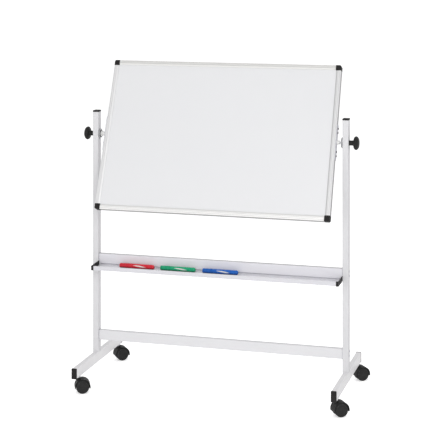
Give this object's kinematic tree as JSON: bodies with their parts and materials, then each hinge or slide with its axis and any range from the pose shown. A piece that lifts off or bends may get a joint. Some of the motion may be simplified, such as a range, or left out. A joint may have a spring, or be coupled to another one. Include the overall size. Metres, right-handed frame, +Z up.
{
  "type": "rolling whiteboard",
  "caption": "Double-sided dry-erase board that turns end over end between the uprights of an H-shaped stand on swivel casters, with clamp knobs, a pen tray and felt markers.",
  "frame": {"origin": "on the floor, under the middle of the stand's overall footprint; the uprights' centre plane is at Y = -0.027 m", "axes": "+Z up, +X to the right of a user facing the writing surface, +Y away from that user"},
  "size_m": [1.4284, 0.6878, 1.6212],
  "materials": {
    "silver_paint": "pale silver-grey powder coat, satin",
    "anodised_frame": "satin anodised",
    "white_enamel": "glossy enamel writing surface",
    "core_board": "raw fibre board, hidden",
    "black_plastic": "moulded, fine texture",
    "grey_plastic": "turned nylon",
    "zinc_steel": "bright zinc plate",
    "wheel_nylon": "moulded nylon, soft sheen",
    "marker_red": "gloss",
    "marker_green": "gloss",
    "marker_blue": "gloss"
  },
  "bodies": {
    "stand": {"left_upright": "silver_paint", "right_upright": "silver_paint", "upright_caps": "black_plastic", "left_foot": "silver_paint", "right_foot": "silver_paint", "foot_end_caps": "black_plastic", "lower_crossbar": "silver_paint", "upper_crossbar": "silver_paint", "crossbar_end_plates": "zinc_steel", "crossbar_bolts": "zinc_steel", "pen_tray": "silver_paint", "tray_left_cap": "black_plastic", "tray_right_cap": "black_plastic", "tray_screws": "zinc_steel", "pivot_bushes": "black_plastic", "friction_washers": "zinc_steel", "caster_sockets": "zinc_steel"},
    "board": {"front_sheet": "white_enamel", "back_sheet": "white_enamel", "board_core": "core_board", "frame_top_rail": "anodised_frame", "frame_bottom_rail": "anodised_frame", "frame_left_rail": "anodised_frame", "frame_right_rail": "anodised_frame", "board_corner_caps": "black_plastic", "left_pivot_bracket": "zinc_steel", "right_pivot_bracket": "zinc_steel", "bracket_screws": "zinc_steel", "left_pivot_bolt": "zinc_steel", "right_pivot_bolt": "zinc_steel", "pivot_spacers": "grey_plastic", "left_pivot_hub": "black_plastic"},
    "left_knob": {"left_clamp_knob": "black_plastic"},
    "right_knob": {"right_clamp_knob": "black_plastic"},
    "caster_fl": {"caster_fl_hood": "black_plastic", "caster_fl_stem": "zinc_steel", "caster_fl_axle": "zinc_steel"},
    "caster_fl_wheel_left": {"caster_fl_wheel_left": "wheel_nylon"},
    "caster_fl_wheel_right": {"caster_fl_wheel_right": "wheel_nylon"},
    "caster_fr": {"caster_fr_hood": "black_plastic", "caster_fr_stem": "zinc_steel", "caster_fr_axle": "zinc_steel"},
    "caster_fr_wheel_left": {"caster_fr_wheel_left": "wheel_nylon"},
    "caster_fr_wheel_right": {"caster_fr_wheel_right": "wheel_nylon"},
    "caster_rl": {"caster_rl_hood": "black_plastic", "caster_rl_stem": "zinc_steel", "caster_rl_axle": "zinc_steel"},
    "caster_rl_wheel_left": {"caster_rl_wheel_left": "wheel_nylon"},
    "caster_rl_wheel_right": {"caster_rl_wheel_right": "wheel_nylon"},
    "caster_rr": {"caster_rr_hood": "black_plastic", "caster_rr_stem": "zinc_steel", "caster_rr_axle": "zinc_steel"},
    "caster_rr_wheel_left": {"caster_rr_wheel_left": "wheel_nylon"},
    "caster_rr_wheel_right": {"caster_rr_wheel_right": "wheel_nylon"},
    "marker_red": {"marker_red_barrel": "marker_red"},
    "marker_red_cap": {"marker_red_cap": "marker_red"},
    "marker_green": {"marker_green_barrel": "marker_green"},
    "marker_green_cap": {"marker_green_cap": "marker_green"},
    "marker_blue": {"marker_blue_barrel": "marker_blue"},
    "marker_blue_cap": {"marker_blue_cap": "marker_blue"}
  },
  "joints": [
    {"name": "board_tilt", "type": "hinge", "parent": "stand", "child": "board", "pos_m": [0, -0.02691, 1.254], "axis": [1, 0, 0], "continuous": true},
    {"name": "left_knob_turn", "type": "hinge", "parent": "board", "child": "left_knob", "pos_m": [-0.69, -0.02691, 1.254], "axis": [-1, 0, 0], "range_deg": [-360, 360]},
    {"name": "right_knob_turn", "type": "hinge", "parent": "board", "child": "right_knob", "pos_m": [0.69, -0.02691, 1.254], "axis": [1, 0, 0], "range_deg": [-360, 360]},
    {"name": "caster_fl_swivel", "type": "hinge", "parent": "stand", "child": "caster_fl", "pos_m": [-0.649, -0.28491, 0.085], "axis": [0, 0, 1], "continuous": true},
    {"name": "caster_fl_wheel_left_spin", "type": "hinge", "parent": "caster_fl", "child": "caster_fl_wheel_left", "pos_m": [-0.63087, -0.27645, 0.033], "axis": [-0.4226, 0.9063, 0], "continuous": true},
    {"name": "caster_fl_wheel_right_spin", "type": "hinge", "parent": "caster_fl", "child": "caster_fl_wheel_right", "pos_m": [-0.63087, -0.27645, 0.033], "axis": [-0.4226, 0.9063, 0], "continuous": true},
    {"name": "caster_fr_swivel", "type": "hinge", "parent": "stand", "child": "caster_fr", "pos_m": [0.649, -0.28491, 0.085], "axis": [0, 0, 1], "continuous": true},
    {"name": "caster_fr_wheel_left_spin", "type": "hinge", "parent": "caster_fr", "child": "caster_fr_wheel_left", "pos_m": [0.66558, -0.27372, 0.033], "axis": [-0.5592, 0.829, 0], "continuous": true},
    {"name": "caster_fr_wheel_right_spin", "type": "hinge", "parent": "caster_fr", "child": "caster_fr_wheel_right", "pos_m": [0.66558, -0.27372, 0.033], "axis": [-0.5592, 0.829, 0], "continuous": true},
    {"name": "caster_rl_swivel", "type": "hinge", "parent": "stand", "child": "caster_rl", "pos_m": [-0.649, 0.28709, 0.085], "axis": [0, 0, 1], "continuous": true},
    {"name": "caster_rl_wheel_left_spin", "type": "hinge", "parent": "caster_rl", "child": "caster_rl_wheel_left", "pos_m": [-0.63324, 0.29941, 0.033], "axis": [-0.6157, 0.788, 0], "continuous": true},
    {"name": "caster_rl_wheel_right_spin", "type": "hinge", "parent": "caster_rl", "child": "caster_rl_wheel_right", "pos_m": [-0.63324, 0.29941, 0.033], "axis": [-0.6157, 0.788, 0], "continuous": true},
    {"name": "caster_rr_swivel", "type": "hinge", "parent": "stand", "child": "caster_rr", "pos_m": [0.649, 0.28709, 0.085], "axis": [0, 0, 1], "continuous": true},
    {"name": "caster_rr_wheel_left_spin", "type": "hinge", "parent": "caster_rr", "child": "caster_rr_wheel_left", "pos_m": [0.66518, 0.29885, 0.033], "axis": [-0.5878, 0.809, 0], "continuous": true},
    {"name": "caster_rr_wheel_right_spin", "type": "hinge", "parent": "caster_rr", "child": "caster_rr_wheel_right", "pos_m": [0.66518, 0.29885, 0.033], "axis": [-0.5878, 0.809, 0], "continuous": true},
    {"name": "marker_red_lift", "type": "slide", "parent": "stand", "child": "marker_red", "axis": [0, 0, 1], "range_m": [0, 0.12]},
    {"name": "marker_red_cap_pull", "type": "slide", "parent": "marker_red", "child": "marker_red_cap", "axis": [-1, 0, 0], "range_m": [0, 0.03]},
    {"name": "marker_green_lift", "type": "slide", "parent": "stand", "child": "marker_green", "axis": [0, 0, 1], "range_m": [0, 0.12]},
    {"name": "marker_green_cap_pull", "type": "slide", "parent": "marker_green", "child": "marker_green_cap", "axis": [-1, 0, 0], "range_m": [0, 0.03]},
    {"name": "marker_blue_lift", "type": "slide", "parent": "stand", "child": "marker_blue", "axis": [0, 0, 1], "range_m": [0, 0.12]},
    {"name": "marker_blue_cap_pull", "type": "slide", "parent": "marker_blue", "child": "marker_blue_cap", "axis": [-1, 0, 0], "range_m": [0, 0.03]}
  ]
}
